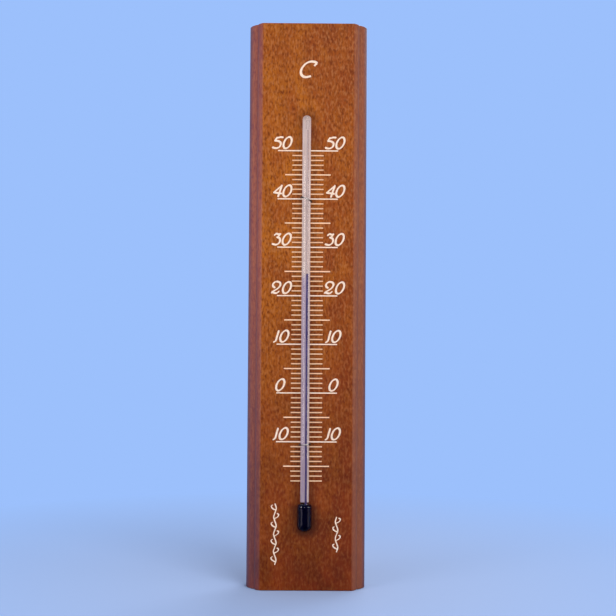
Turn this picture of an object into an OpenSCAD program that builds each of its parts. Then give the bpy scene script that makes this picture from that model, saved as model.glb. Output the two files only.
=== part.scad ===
// Room thermometer: a moulded wooden board with a printed Celsius scale, a spirit-filled
// glass capillary held by two wire clips, and a keyhole hanger let into the back.
// The origin is the centre of the keyhole's round entry, in the plane of the board's back.
// +Z runs up the board and the front faces -Y.

/* [Board] */
// Height of the board
board_h = 200; // [190:1:260]
// Width across both mouldings
board_w = 42; // [40:0.5:60]
// Thickness from back to front face
board_t = 12; // [10.5:0.5:20]
// Small chamfer along the back edges
back_chamfer = 0.5; // [0.2:0.1:1]

/* [Moulding] */
// Width of the moulding along each long edge
moulding_w = 4.9; // [4:0.1:6]
// Width of the upper round, next to the front face
upper_w = 1.7; // [1.2:0.1:2.2]
// Drop of the upper round
upper_d = 1.5; // [1.2:0.1:2.2]
// Drop of the small step between the two rounds
step_d = 0.8; // [0.6:0.1:1.6]
// Drop of the lower round
lower_d = 3.9; // [2:0.1:4.2]
// Softening of the corner between front face and moulding
arris = 0.4; // [0.2:0.05:0.8]

/* [Scale] */
// Height of the zero line above the board's bottom edge
zero_z = 69; // [66:0.5:75]
// Height of one degree
degree_pitch = 1.71; // [1.55:0.01:1.75]
// Highest marked temperature
top_degree = 50; // [40:10:50]
// Lowest marked temperature
low_degree = -18; // [-18:1:-10]
// Width of a printed line
line_w = 0.42; // [0.3:0.02:0.5]
// Reach of the ten-degree lines from the middle
ten_reach = 10.65; // [9:0.05:12]
// Reach of the five-degree lines from the middle
five_reach = 8.05; // [7:0.05:8.5]
// Reach of the one-degree lines from the middle
one_reach = 5.5; // [4:0.05:6.5]
// Thickness of the printed ink
ink_t = 0.05; // [0.03:0.01:0.1]

/* [Numerals] */
// Distance of the left numerals' middle from the middle of the board
left_label_x = 9.25; // [9:0.05:10.5]
// Distance of the right numerals' middle from the middle of the board
right_label_x = 9.45; // [9:0.05:10.5]
// How much nearer to the middle the numerals 10 stand
ten_shift = 0.2; // [0:0.05:0.6]
// Height of a numeral's foot above its line
label_rise = 0.83; // [0.6:0.01:1.2]
// Widest stroke of the pen
pen_thick = 0.78; // [0.4:0.02:0.8]
// Narrowest stroke of the pen
pen_thin = 0.46; // [0.2:0.02:0.5]
// Angle at which the pen is held
pen_angle = 35; // [20:1:50]
// Sideways place of the unit mark's middle
unit_x = 0.15; // [-1:0.05:1]
// Height of the unit mark's foot above the board's bottom edge
unit_z = 180.7; // [175:0.1:185]
// Weight of the unit mark's lines beside the numerals' pen
unit_weight = 1.2; // [0.8:0.05:1.4]

/* [Ornaments] */
// Distance of each printed tendril from the middle of the board
tendril_x = 10.8; // [9:0.1:12]
// Height of the tendrils' middle above the board's bottom edge
tendril_z = 19.6; // [18:0.1:24]
// Length of one wave of a tendril
tendril_wave = 6; // [5:0.1:7]
// Sideways swing of a tendril's stem
tendril_swing = 0.45; // [0.3:0.05:0.8]
// Weight of a tendril's lines beside the numerals' pen
tendril_weight = 0.6; // [0.4:0.05:1]
// Waves in the left tendril
left_waves = 3.5; // [2.5:0.5:3.5]
// Waves in the right tendril
right_waves = 2; // [1.5:0.5:2.5]

/* [Glass] */
// Sideways place of the tube
tube_x = -0.5; // [-0.6:0.1:0.6]
// Outer radius of the stem
tube_r = 1.5; // [1.3:0.05:1.8]
// Height of the tube's axis in front of the board's face
tube_lift = 0.6; // [0.4:0.05:0.9]
// Height of the tube's tip above the board's bottom edge
tip_z = 166.9; // [165:0.1:175]
// Length of the rounded tip
tip_h = 1.3; // [1:0.1:1.5]
// Radius of the bore
bore_r = 0.25; // [0.2:0.01:0.3]
// Sideways distance of the bore from the tube's axis
bore_x = 0.3; // [0:0.05:0.4]
// Radius of the expansion chamber at the top of the bore
chamber_r = 0.45; // [0.4:0.05:0.6]
// Length of the expansion chamber
chamber_h = 3.5; // [2:0.5:5]
// Outer radius of the bulb
bulb_r = 2.55; // [2.3:0.05:3]
// Length of the bulb's straight wall
bulb_h = 6.4; // [4:0.1:7]
// Length of the bulb's rounded bottom
bulb_dome = 2.2; // [1.5:0.1:2.5]
// Length of the shoulder between bulb and stem
shoulder_h = 1.2; // [1:0.1:2.4]
// Height of the bulb's lowest point above the board's bottom edge
bulb_z = 20.5; // [18:0.1:24]
// Wall of the bulb
bulb_wall = 0.45; // [0.35:0.05:0.6]
// Half angle of the white enamel stripe, seen along the tube
stripe_angle = 62; // [50:1:75]
// Depth of the enamel stripe
stripe_t = 0.35; // [0.25:0.05:0.5]

/* [Liquid] */
// Temperature that the liquid shows
reading = 24.45; // [0:0.05:40]
// Length of the moving top of the liquid
head_h = 6; // [5:0.5:7]
// Gap between the thread and the bore
thread_gap = 0.015; // [0.01:0.005:0.03]
// Gap between the liquid and the bulb
bulb_gap = 0.02; // [0.01:0.01:0.05]
// Depth of the hollow in the liquid's top
meniscus = 0.12; // [0.05:0.01:0.2]

/* [Clips] */
// Radius of the clip wire
wire_r = 0.225; // [0.2:0.005:0.25]
// Radius of the clip's bend, to the middle of the wire
bend_r = 1.95; // [1.9:0.05:2.1]
// Depth of the clip's legs in the wood
leg_depth = 4; // [3:0.5:4.5]
// Scale reading at which the upper clip sits
upper_clip_degree = 39.9; // [39.8:0.05:40.1]
// Slant of the upper clip
upper_clip_slant = 24; // [20:1:26]
// Scale reading at which the lower clip sits
lower_clip_degree = -10.5; // [-10.55:0.05:-10.45]
// Slant of the lower clip
lower_clip_slant = -4; // [-6:1:6]

/* [Hanger] */
// Distance of the keyhole's entry below the board's top edge
hang_drop = 24; // [22:0.5:30]
// Thickness of the hanger plate
plate_t = 1.2; // [1:0.1:1.5]
// Width of the hanger plate
plate_w = 14; // [12:0.5:16]
// Corner radius of the hanger plate
plate_corner = 4; // [2:0.5:5]
// Radius of the keyhole's entry
entry_r = 4; // [3.5:0.1:4.5]
// Half width of the keyhole's slot
slot_r = 2.1; // [2.05:0.05:2.2]
// Distance from the entry to the end of the slot
slot_h = 9; // [7:0.5:10]
// Radius of the pocket in the wood behind the keyhole
pocket_r = 4.6; // [4.5:0.1:5]
// Depth of the pocket below the plate
pocket_d = 5.5; // [4.5:0.1:5.7]
// Radius of the plate screws
screw_r = 1.25; // [1:0.05:1.5]
// Radius of the screws' countersunk heads
screw_head_r = 2.4; // [2.2:0.1:2.6]
// Length of the screws
screw_l = 8; // [6:0.5:8.5]
// Wood and steel left between a screw head and the keyhole
screw_web = 1.2; // [0.8:0.1:2]
// Width of steel around a screw head
screw_rim = 1.8; // [1.2:0.1:2.5]

/* [Fits] */
// Clearance of the glass in its groove
groove_gap = 0.05; // [0.03:0.01:0.1]
// Clearance of wire legs, screws and the enamel stripe in their seats
snug = 0.01; // [0.005:0.005:0.02]
// Clearance round the hanger plate
plate_gap = 0.1; // [0.05:0.05:0.2]

/* [Hidden] */
$fn = 64;

// Heights below are measured up from the board's bottom edge, which lies here
foot = hang_drop - board_h;
face_y = -board_t;
face_w = board_w - 2 * moulding_w;
tube_y = face_y - tube_lift;

// Small dimensions of the moulding: lean of its step and how far its two rounds stand out
step_lean = 0.2;
upper_sag = 0.14;
lower_sag = 0.5;

// The glass: solid glass above the chamber, bare stem between the shoulder and the stripe, and
// how far the bore runs down into the bulb's hollow
tip_glass = 0.4;
stripe_rise = 0.4;
bore_dip = 0.05;
// Heights at which bulb, shoulder and stem begin, and the hollow inside them
wall_z = bulb_z + bulb_dome;
shoulder_z = wall_z + bulb_h;
stem_z = shoulder_z + shoulder_h;
cavity_r = bulb_r - bulb_wall;
neck_z = stem_z - bulb_wall;
chamber_top = tip_z - tip_h - tip_glass;
chamber_z = chamber_top - chamber_h;
taper_h = chamber_r - bore_r;
// The stripe ends half way up the rounded tip
stripe_low = stem_z + stripe_rise;
stripe_top = tip_z - tip_h / 2;

// The liquid: its top in the bore
thread_r = bore_r - thread_gap;
level_z = zero_z + reading * degree_pitch;
head_z = level_z - head_h;

// The hanger: straight rim of a countersunk head, cross recess and depth left below a screw
head_rim = 0.1;
cross_w = 0.5;
cross_l = 2.4;
cross_d = 0.8;
hole_extra = 0.2;
// Its screws stand above the slot and below the entry
upper_screw_z = slot_h + slot_r + screw_web + screw_head_r;
lower_screw_z = -entry_r - screw_web - screw_head_r;
plate_top = upper_screw_z + screw_head_r + screw_rim;
plate_low = lower_screw_z - screw_head_r - screw_rim;

// Printed lines start a little beside the groove
line_gap = 0.1;
groove_half = sqrt(pow(tube_r + groove_gap, 2) - pow(tube_lift, 2));
line_start = groove_half + line_gap;

// Overlap of shapes that join, and how far a cut runs out past a surface
eps = 0.01;
over = 1;

// Points from a to b on a shallow bow that stands out by sag in its middle
function bow(a, b, sag, n) =
    let (u = (b - a) / norm(b - a))
    [for (i = [0 : n]) let (t = i / n) a + (b - a) * t + [u[1], -u[0]] * sag * 4 * t * (1 - t)];

// Points that round the corner p between a and b, starting r away from it on each side
function soften(a, p, b, r, n) =
    let (from = p + (a - p) / norm(a - p) * r, to = p + (b - p) / norm(b - p) * r)
    [for (i = [0 : n]) let (t = i / n) from * pow(1 - t, 2) + p * 2 * t * (1 - t) + to * t * t];

// A quarter of an ellipse from a0 to a1 degrees, with half axes rx and rz about height z
function quarter(rx, rz, z, a0, a1, n) =
    [for (i = [0 : n]) let (a = a0 + (a1 - a0) * i / n) [rx * cos(a), z + rz * sin(a)]];

// Right half of the board's cross-section, from the front face round to the back
face_edge = [face_w / 2, face_y];
upper_end = face_edge + [upper_w, upper_d];
step_end = upper_end + [step_lean, step_d];
lower_end = [board_w / 2, step_end[1] + lower_d];
upper_start = face_edge + (upper_end - face_edge) / norm(upper_end - face_edge) * arris;
half_section = concat(
    soften([0, face_y], face_edge, upper_end, arris, 4),
    [for (i = [1 : 5]) bow(upper_start, upper_end, upper_sag, 5)[i]],
    bow(step_end, lower_end, lower_sag, 8),
    [[board_w / 2, -back_chamfer], [board_w / 2 - back_chamfer, 0]]
);

// The pen's path through the points p, as a smooth curve with n steps between two points
function smooth(p, n) = concat(
    [for (i = [0 : len(p) - 2], j = [0 : n - 1])
        let (a = p[max(i - 1, 0)], b = p[i], c = p[i + 1], d = p[min(i + 2, len(p) - 1)], t = j / n)
        (b * 2 + (c - a) * t + (a * 2 - b * 5 + c * 4 - d) * t * t
            + (b * 3 - a - c * 3 + d) * t * t * t) / 2],
    [p[len(p) - 1]]);

// Sideways half width of a broad pen that moves in direction u
function pen(u) =
    [-u[1], u[0]] / 2 * (pen_thin
        + (pen_thick - pen_thin) * abs(u[0] * sin(pen_angle) - u[1] * cos(pen_angle)));

function heading(a, b) = (b - a) / norm(b - a);

// Pen strokes of each digit above zero: points chosen by hand, in a cell 4 mm high
digit_strokes = [
    [],
    [[[1.65, 3.75], [1.15, 2], [0.7, 0.45], [0, -0.1]]],
    [[[1.3, 2.05], [0.8, 2.4], [0.75, 3.1], [1.3, 3.85], [2.2, 4.1], [3.15, 3.75], [3.35, 3],
        [2.8, 2], [1.8, 1.25], [0.9, 0.7], [0.25, 0.15]],
        [[0.5, 0.35], [1.25, 0.1], [2.05, 0.05], [2.8, 0.65]]],
    [[[1, 3.4], [1.6, 3.9], [2.3, 3.7], [3.05, 3.85]],
        [[3.05, 3.85], [2.5, 3.1], [1.9, 2.65]],
        [[1.9, 2.65], [2.6, 2.4], [2.95, 1.7], [2.65, 0.75], [1.85, 0.12], [1.1, 0.05], [0.3, 0.25]]],
    [[[3.55, 3.85], [2.1, 2.6], [0.8, 1.45]],
        [[0.8, 1.42], [2, 1.25], [3.3, 1.05]],
        [[3.55, 3.85], [2.85, 1.8], [2.25, 0.02]]],
    [[[3.7, 3.9], [2.9, 3.95], [2.2, 3.75], [1.65, 3.7]],
        [[1.65, 3.7], [1.3, 3.2], [1.05, 2.7]],
        [[1.05, 2.7], [2.1, 2.55], [2.85, 2.1], [3, 1.4], [2.65, 0.6], [1.85, 0.1], [1.05, 0.02],
            [0.25, 0.25]]]
];
// How far each digit pushes the zero that follows it
digit_advance = [0, 2.2, 4.2, 3.8, 4.05, 3.95];
// The zero: half width, half height and slant of its ring, and how far it sinks below the foot
zero_half_w = 1.3;
zero_half_h = 2.03;
zero_slant = 0.33;
zero_sink = 0.05;
zero_w = 2 * sqrt(pow(zero_half_w, 2) + pow(zero_slant * zero_half_h, 2));
// The unit mark: a sickle, and a short spur at its upper end
unit_strokes = [
    [[5.75, 4.95], [5.1, 5.35], [4.3, 5.55], [3.2, 5.5], [1.8, 4.85], [0.65, 3.65], [0.05, 2.3],
        [0.1, 1.1], [0.8, 0.25], [1.95, 0], [3.55, 0.4]],
    [[5.75, 4.95], [5.2, 4.5], [4.7, 4]]
];
unit_w = 5.75;
// Width of a stroke's round ends beside the stroke
end_round = 0.97;

// One pen stroke through the points, with round ends or with ends cut square
module stroke(points, steps, weight = 1, round_ends = true) {
    c = smooth(points, steps);
    last = len(c) - 1;
    side = [for (i = [0 : last]) pen(heading(c[max(i - 1, 0)], c[min(i + 1, last)])) * weight];
    polygon(concat([for (i = [0 : last]) c[i] + side[i]], [for (i = [last : -1 : 0]) c[i] - side[i]]));
    if (round_ends) for (i = [0, last]) translate(c[i]) circle(norm(side[i]) * end_round);
}

module zero_ring() {
    n = 28;
    turn = [for (i = [0 : n - 1]) 360 * i / n];
    ring = [for (a = turn) [zero_w / 2 + zero_half_w * cos(a) + zero_slant * zero_half_h * sin(a),
        zero_half_h * (1 + sin(a)) - zero_sink]];
    along = [for (a = turn) heading([0, 0],
        [-zero_half_w * sin(a) + zero_slant * zero_half_h * cos(a), zero_half_h * cos(a)])];
    polygon(
        points = concat([for (i = [0 : n - 1]) ring[i] - pen(along[i])],
            [for (i = [0 : n - 1]) ring[i] + pen(along[i])]),
        paths = [[for (i = [0 : n - 1]) i], [for (i = [0 : n - 1]) n + i]]);
}

// The number of tens d with its zero, centred on x = 0
module numeral(d) {
    w = digit_advance[d] + zero_w;
    translate([-w / 2, 0]) {
        for (s = digit_strokes[d]) stroke(s, 3);
        translate([digit_advance[d], 0]) zero_ring();
    }
}

// Puts flat artwork on the board's face as a layer of ink, at x and at height z
module printed(x, z) {
    translate([x, face_y, foot + z]) rotate([90, 0, 0]) linear_extrude(ink_t) children();
}

// One printed line on each side of the tube
module line_pair(degree, reach) {
    z = zero_z + degree * degree_pitch - line_w / 2;
    printed(0, z) translate([tube_x + line_start, 0]) square([reach - tube_x - line_start, line_w]);
    printed(0, z) translate([-reach, 0]) square([reach + tube_x - line_start, line_w]);
}

module ten_degree_lines() {
    color("peachpuff") for (d = [low_degree : top_degree]) if (d % 10 == 0) line_pair(d, ten_reach);
}

module five_degree_lines() {
    color("peachpuff") for (d = [low_degree : top_degree])
        if (d % 5 == 0 && d % 10 != 0) line_pair(d, five_reach);
}

module degree_lines() {
    color("peachpuff") for (d = [low_degree : top_degree]) if (d % 5 != 0) line_pair(d, one_reach);
}

module numerals(side) {
    color("peachpuff") for (d = [low_degree : top_degree]) if (d % 10 == 0)
        printed(side < 0 ? (abs(d) == 10 ? ten_shift : 0) - left_label_x
            : right_label_x - (abs(d) == 10 ? ten_shift : 0),
            zero_z + d * degree_pitch + label_rise) numeral(abs(d) / 10);
}

module unit_mark() {
    color("peachpuff") printed(unit_x - unit_w / 2, unit_z)
        for (s = unit_strokes) stroke(s, 3, unit_weight, false);
}

// A wavy stem with a curled leaf in each bend
module tendril(waves) {
    bend = tendril_wave / 2;
    translate([0, -waves * bend]) {
        stroke([for (i = [0 : 4 * waves]) [tendril_swing * sin(90 * i), i * bend / 2]], 3, tendril_weight);
        for (k = [0 : 2 * waves - 1]) let (side = k % 2 == 0 ? 1 : -1, y = (k + 0.3) * bend)
            stroke([[side * tendril_swing * sin(54), y], [side * -0.35, y + 0.25],
                [side * -1.05, y + 0.75], [side * -1.3, y + 1.45], [side * -0.85, y + 1.75]],
                3, tendril_weight);
    }
}

module tendrils() {
    color("peachpuff") {
        printed(-tendril_x, tendril_z) tendril(left_waves);
        printed(tendril_x, tendril_z) tendril(right_waves);
    }
}

// Stands its children on the tube's axis, with heights above the board's bottom edge
module on_tube() {
    translate([tube_x, tube_y, foot]) children();
}

// Half outline of the glass, drawn larger by gap
module glass_outline(gap) {
    polygon(concat(
        quarter(bulb_r + gap, bulb_dome + gap, wall_z, -90, 0, 10),
        [for (i = [1 : 8]) let (a = 90 * i / 8)
            [tube_r + gap + (bulb_r - tube_r) * cos(a), shoulder_z + gap + shoulder_h * sin(a)]],
        quarter(tube_r + gap, tip_h + gap, tip_z - tip_h, 0, 90, 8)));
}

// Half outline of the bulb's hollow, drawn smaller by gap
module bulb_hollow(gap, top_r) {
    top = neck_z - gap;
    polygon(concat(
        quarter(cavity_r - gap, bulb_dome - bulb_wall - gap, wall_z, -90, 0, 8),
        [for (i = [0 : 8]) let (a = 90 * i / 8)
            [top_r + (cavity_r - gap - top_r) * cos(a), top - shoulder_h * (1 - sin(a))]],
        [[0, top]]));
}

// Half outline of bore and chamber
module bore_outline() {
    polygon([[0, neck_z - bore_dip], [bore_r, neck_z - bore_dip], [bore_r, chamber_z],
        [chamber_r, chamber_z + taper_h], [chamber_r, chamber_top - taper_h], [bore_r, chamber_top],
        [0, chamber_top]]);
}

// Moves its children from the tube's axis to the bore's
module on_bore() {
    translate([bore_x, 0, 0]) children();
}

// Rear sector round the stem, from the stripe's depth out past the stem's surface
module stripe_section(gap) {
    far = 2 * (tube_r + over);
    intersection() {
        difference() {
            circle(tube_r + over);
            circle(tube_r - stripe_t - gap);
        }
        polygon([[0, 0], for (a = [-1 : 0.5 : 1])
            let (b = 90 + a * (stripe_angle + gap / tube_r * 180 / PI)) [far * cos(b), far * sin(b)]]);
    }
}

module stripe(gap) {
    translate([0, 0, stripe_low - gap])
        linear_extrude(stripe_top - stripe_low + 2 * gap) stripe_section(gap);
}

module glass_tube() {
    color("lavender", 0.4) on_tube() difference() {
        rotate_extrude() glass_outline(0);
        rotate_extrude() bulb_hollow(0, bore_r);
        on_bore() rotate_extrude() bore_outline();
        stripe(snug);
    }
}

module enamel_stripe() {
    color("white") on_tube() intersection() {
        stripe(0);
        rotate_extrude() glass_outline(0);
    }
}

module bulb_liquid() {
    color("midnightblue") on_tube() rotate_extrude() bulb_hollow(bulb_gap, thread_r);
}

module liquid_column() {
    color("mediumblue") on_tube() on_bore() translate([0, 0, neck_z + eps])
        cylinder(r = thread_r, h = head_z - neck_z - 2 * eps);
}

// The top of the liquid, with the hollow that its surface makes in the bore
module liquid_head() {
    n = 5;
    color("mediumblue") on_tube() on_bore() rotate_extrude() polygon(concat(
        [[0, head_z], [thread_r, head_z]],
        [for (i = [n : -1 : 0]) let (t = i / n) [thread_r * t, level_z - meniscus * (1 - t * t)]]));
}

// The clips' wire, made thicker by gap, and both clips in their places
module clip_wire(gap) {
    top_y = bend_r - wire_r - tube_r - snug;
    translate([0, top_y, 0]) {
        rotate([0, 0, 180]) rotate_extrude(angle = 180) translate([bend_r, 0]) circle(wire_r + gap);
        for (side = [-1, 1]) translate([side * bend_r, 0, 0]) rotate([-90, 0, 0])
            cylinder(r = wire_r + gap, h = leg_depth + tube_lift - top_y + gap);
    }
}

module clip_at(degree, slant, gap) {
    on_tube() translate([0, 0, zero_z + degree * degree_pitch]) rotate([0, slant, 0]) clip_wire(gap);
}

module upper_wire_clip() {
    color("gainsboro") clip_at(upper_clip_degree, upper_clip_slant, 0);
}

module lower_wire_clip() {
    color("gainsboro") clip_at(lower_clip_degree, lower_clip_slant, 0);
}

// A rectangle between two heights with round corners, drawn on the board's back
module plate_outline(w, low, top, r) {
    for (z = [low + r, top - r], x = [r - w / 2, w / 2 - r]) translate([x, z]) circle(r);
    translate([r - w / 2, low]) square([w - 2 * r, top - low]);
    translate([-w / 2, low + r]) square([w, top - low - 2 * r]);
}

// Extrudes a drawing in the plane of the board's back forwards, from depth y0 to y1
module let_in(y0, y1) {
    translate([0, -y0, 0]) rotate([90, 0, 0]) linear_extrude(y1 - y0) children();
}

// A countersunk plate screw on its axis, head at the back plane, made larger by gap
module screw_shape(gap) {
    out = gap > 0 ? over : 0;
    rotate([90, 0, 0]) {
        cylinder(r = screw_r + gap, h = screw_l + gap);
        translate([0, 0, head_rim])
            cylinder(r1 = screw_head_r + gap, r2 = screw_r + gap, h = plate_t - head_rim);
        translate([0, 0, -out]) cylinder(r = screw_head_r + gap, h = head_rim + out);
    }
}

module at_screws() {
    for (z = [lower_screw_z, upper_screw_z]) translate([0, 0, z]) children();
}

module hanger_plate() {
    color("lightsteelblue") difference() {
        let_in(0, plate_t) plate_outline(plate_w, plate_low, plate_top, plate_corner);
        let_in(-over, plate_t + over) {
            circle(entry_r);
            translate([0, slot_h]) circle(slot_r);
            translate([-slot_r, 0]) square([2 * slot_r, slot_h]);
        }
        at_screws() screw_shape(snug);
    }
}

module hanger_screws() {
    color("silver") at_screws() difference() {
        screw_shape(0);
        for (turn = [45, 135]) rotate([0, turn, 0])
            translate([-cross_l / 2, -cross_d, -cross_w / 2]) cube([cross_l, cross_d + over, cross_w]);
    }
}

module backboard() {
    color("sienna") difference() {
        translate([0, 0, foot]) linear_extrude(board_h) polygon(concat(half_section,
            [for (i = [len(half_section) - 1 : -1 : 0]) [-half_section[i][0], half_section[i][1]]]));
        on_tube() rotate_extrude() glass_outline(groove_gap);
        clip_at(upper_clip_degree, upper_clip_slant, snug);
        clip_at(lower_clip_degree, lower_clip_slant, snug);
        let_in(-over, plate_t + snug) plate_outline(plate_w + 2 * plate_gap, plate_low - plate_gap,
            plate_top + plate_gap, plate_corner + plate_gap);
        let_in(0, plate_t + pocket_d)
            plate_outline(2 * pocket_r, -pocket_r, slot_h + pocket_r, pocket_r - eps);
        at_screws() rotate([90, 0, 0]) cylinder(r = screw_r + snug, h = screw_l + hole_extra);
    }
}

backboard();
glass_tube();
enamel_stripe();
bulb_liquid();
liquid_column();
liquid_head();
upper_wire_clip();
lower_wire_clip();
hanger_plate();
hanger_screws();
ten_degree_lines();
five_degree_lines();
degree_lines();
numerals(-1);  // left_numerals
numerals(1);  // right_numerals
unit_mark();
tendrils();
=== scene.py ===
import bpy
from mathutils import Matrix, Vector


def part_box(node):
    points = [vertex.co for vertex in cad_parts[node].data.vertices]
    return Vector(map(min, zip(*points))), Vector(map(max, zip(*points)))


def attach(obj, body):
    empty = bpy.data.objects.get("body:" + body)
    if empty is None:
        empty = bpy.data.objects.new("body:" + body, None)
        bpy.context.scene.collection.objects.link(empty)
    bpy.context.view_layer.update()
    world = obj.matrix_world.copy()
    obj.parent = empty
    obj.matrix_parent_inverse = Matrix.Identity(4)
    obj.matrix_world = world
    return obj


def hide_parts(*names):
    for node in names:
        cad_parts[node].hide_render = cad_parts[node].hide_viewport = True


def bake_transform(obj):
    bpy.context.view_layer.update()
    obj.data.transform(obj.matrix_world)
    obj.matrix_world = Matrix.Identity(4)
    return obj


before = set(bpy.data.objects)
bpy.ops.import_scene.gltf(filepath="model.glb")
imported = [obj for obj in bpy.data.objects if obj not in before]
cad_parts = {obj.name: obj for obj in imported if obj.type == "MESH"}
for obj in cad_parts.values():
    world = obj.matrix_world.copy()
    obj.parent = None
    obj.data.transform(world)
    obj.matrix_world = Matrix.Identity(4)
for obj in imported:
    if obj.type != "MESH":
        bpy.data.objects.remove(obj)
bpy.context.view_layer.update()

import math

import bmesh
import bpy
import numpy as np
from mathutils import Matrix, Vector

# A wooden room thermometer: moulded and stained board, printed scale, spirit-filled capillary
# in two wire clips, and a keyhole hanger let into the back.
# Lengths are in millimetres, and heights are measured up from the board's bottom edge.
mm = 0.001
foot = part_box("backboard")[0].z / mm
dial = dict(zero=69.0, degree=1.71)  # the height of the printed zero line, and of one degree


def heightAt(degrees):
    # The height of a reading on the printed scale
    return dial["zero"] + degrees * dial["degree"]


# Camera: its place and turn were fitted to the board's outline in the photograph
cameraView = dict(
    place=(-1.91, -399.37, -88.1),
    roll=0.359, pitch=-1.624, yaw=0.329,  # degrees
    lens=64.31,  # on a sensor 36 mm wide
)


def addCamera(view):
    # Turned by roll, pitch and yaw from a level camera that looks along the board's depth
    turns = [Matrix.Rotation(math.radians(view[name]), 3, axis)
             for name, axis in (("roll", "Y"), ("pitch", "X"), ("yaw", "Z"))]
    right, ahead, up = turns[0] @ turns[1] @ turns[2]
    camera = bpy.data.objects.new("camera", bpy.data.cameras.new("camera"))
    camera.data.lens = view["lens"]
    camera.matrix_world = Matrix((right, up, -ahead)).transposed().to_4x4()
    camera.location = [value * mm for value in view["place"]]
    bpy.context.scene.collection.objects.link(camera)
    bpy.context.scene.camera = camera


addCamera(cameraView)
print("camera placed")


# Shapes

def ellipseArc(radius, height, z, start, end, count):
    # (radius cos a, z + height sin a) for a from start to end degrees
    angle = np.radians(np.linspace(start, end, count))
    return np.stack([radius * np.cos(angle), z + height * np.sin(angle)], -1)


def gridFaces(rows, columns):
    # Quads between neighbouring rows of a grid of points whose columns close into a ring
    row, column = np.meshgrid(np.arange(rows - 1), np.arange(columns), indexing="ij")
    here, beside = row * columns + column, row * columns + (column + 1) % columns
    return np.stack([here, beside, beside + columns, here + columns], -1).reshape(-1, 4).tolist()


def lathe(outline, centre, steps, aside=0.0):
    # Turns a line of (radius, height) points about the upright axis through centre; aside moves
    # each point's circle to the right
    angle = np.linspace(0, 2 * np.pi, steps, endpoint=False)
    radius, height = outline[:, :1], np.broadcast_to(outline[:, 1:], (len(outline), steps))
    right = np.reshape(np.broadcast_to(aside, len(outline)), (-1, 1))
    grid = np.stack([radius * np.cos(angle) + right, radius * np.sin(angle), height], -1)
    return (grid + np.array([*centre, 0])).reshape(-1, 3), gridFaces(len(outline), steps)


def loft(rings):
    # Joins closed rings of points, all of the same count, and caps the first and the last
    rows, columns = rings.shape[:2]
    faces = gridFaces(rows, columns)
    faces.append(list(range(columns))[::-1])
    faces.append(list(range((rows - 1) * columns, rows * columns)))
    return rings.reshape(-1, 3), faces


def wireAlong(path, across, radius, sides):
    # A round wire along a flat path: at each point a circle spanned by the plane's normal
    # (across) and by the direction that is square to both the path and that normal
    ahead = np.gradient(path, axis=0)
    ahead /= np.linalg.norm(ahead, axis=1, keepdims=True)
    inPlane = np.cross(across, ahead)
    angle = np.linspace(0, 2 * np.pi, sides, endpoint=False)[None, :, None]
    return loft(path[:, None] + radius * (np.cos(angle) * inPlane[:, None] + np.sin(angle) * across))


def throughBack(outline, shallow, deep):
    # An outline in the plane of the board's back, carried from one depth to another
    layers = [np.stack([outline[:, 0], np.full(len(outline), -depth), outline[:, 1]], -1)
              for depth in (shallow, deep)]
    return loft(np.stack(layers))


def roundedBox(width, low, high, radius, steps=16):
    # A rectangle between two heights whose corners are quarter circles
    corners = [(width / 2 - radius, high - radius, 0), (radius - width / 2, high - radius, 90),
               (radius - width / 2, low + radius, 180), (width / 2 - radius, low + radius, 270)]
    return np.concatenate([
        ellipseArc(radius, radius, z, start, start + 90, steps) + (x, 0) for x, z, start in corners])


def makePiece(name, parts, material, turnOut=True, merge=0.0001):
    # One mesh from one or more (points, faces) parts, in the part's frame. Points that lie
    # nearer together than merge become one, which closes poles; turnOut makes faces point outwards.
    mesh = bpy.data.meshes.new(name)
    starts = np.cumsum([0] + [len(points) for points, _ in parts])
    faces = [[start + corner for corner in face]
             for start, (_, partFaces) in zip(starts, parts) for face in partFaces]
    mesh.from_pydata((np.concatenate([points for points, _ in parts]) * mm).tolist(), [], faces)
    edit = bmesh.new()
    edit.from_mesh(mesh)
    bmesh.ops.remove_doubles(edit, verts=edit.verts, dist=merge * mm)
    if turnOut:
        bmesh.ops.recalc_face_normals(edit, faces=edit.faces)
    edit.to_mesh(mesh)
    edit.free()
    if material:
        mesh.materials.append(material)
    piece = bpy.data.objects.new(name, mesh)
    bpy.context.scene.collection.objects.link(piece)
    return piece


def shadeSmooth(piece, sharpAngle=32):
    # Smooth shading that keeps edges sharper than the angle, with flat faces left flat
    piece.data.polygons.foreach_set("use_smooth", np.ones(len(piece.data.polygons), bool))
    piece.data.set_sharp_from_angle(angle=math.radians(sharpAngle))
    weighted = piece.modifiers.new("normals", "WEIGHTED_NORMAL")
    weighted.keep_sharp = True
    return piece


def place(piece, body, slot, *nodes):
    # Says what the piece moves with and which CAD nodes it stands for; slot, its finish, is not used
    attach(piece, body)
    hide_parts(*nodes)


# Materials

def linear(hexColour):
    # An sRGB hex colour as linear light
    value = np.array([int(hexColour[i:i + 2], 16) for i in (0, 2, 4)]) / 255
    light = np.where(value <= 0.04045, value / 12.92, ((value + 0.055) / 1.055) ** 2.4)
    return (*light.tolist(), 1.0)


def addNode(tree, kind, inputs=(), **properties):
    # A node with its settings. Inputs stand in the order of its sockets, or are named or
    # numbered in a dict, and each is a value or another node's output.
    node = tree.nodes.new("ShaderNode" + kind)
    for name, value in properties.items():
        setattr(node, name, value)
    for key, value in inputs.items() if isinstance(inputs, dict) else enumerate(inputs):
        if isinstance(value, bpy.types.NodeSocket):
            tree.links.new(value, node.inputs[key])
        else:
            node.inputs[key].default_value = value
    return node


def newMaterial(name):
    # An empty material, its nodes, and the place of each point in the part's frame
    material = bpy.data.materials.new(name)
    material.use_nodes = True
    tree = material.node_tree
    tree.nodes.clear()
    return material, tree, addNode(tree, "TexCoord").outputs["Object"]


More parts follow.
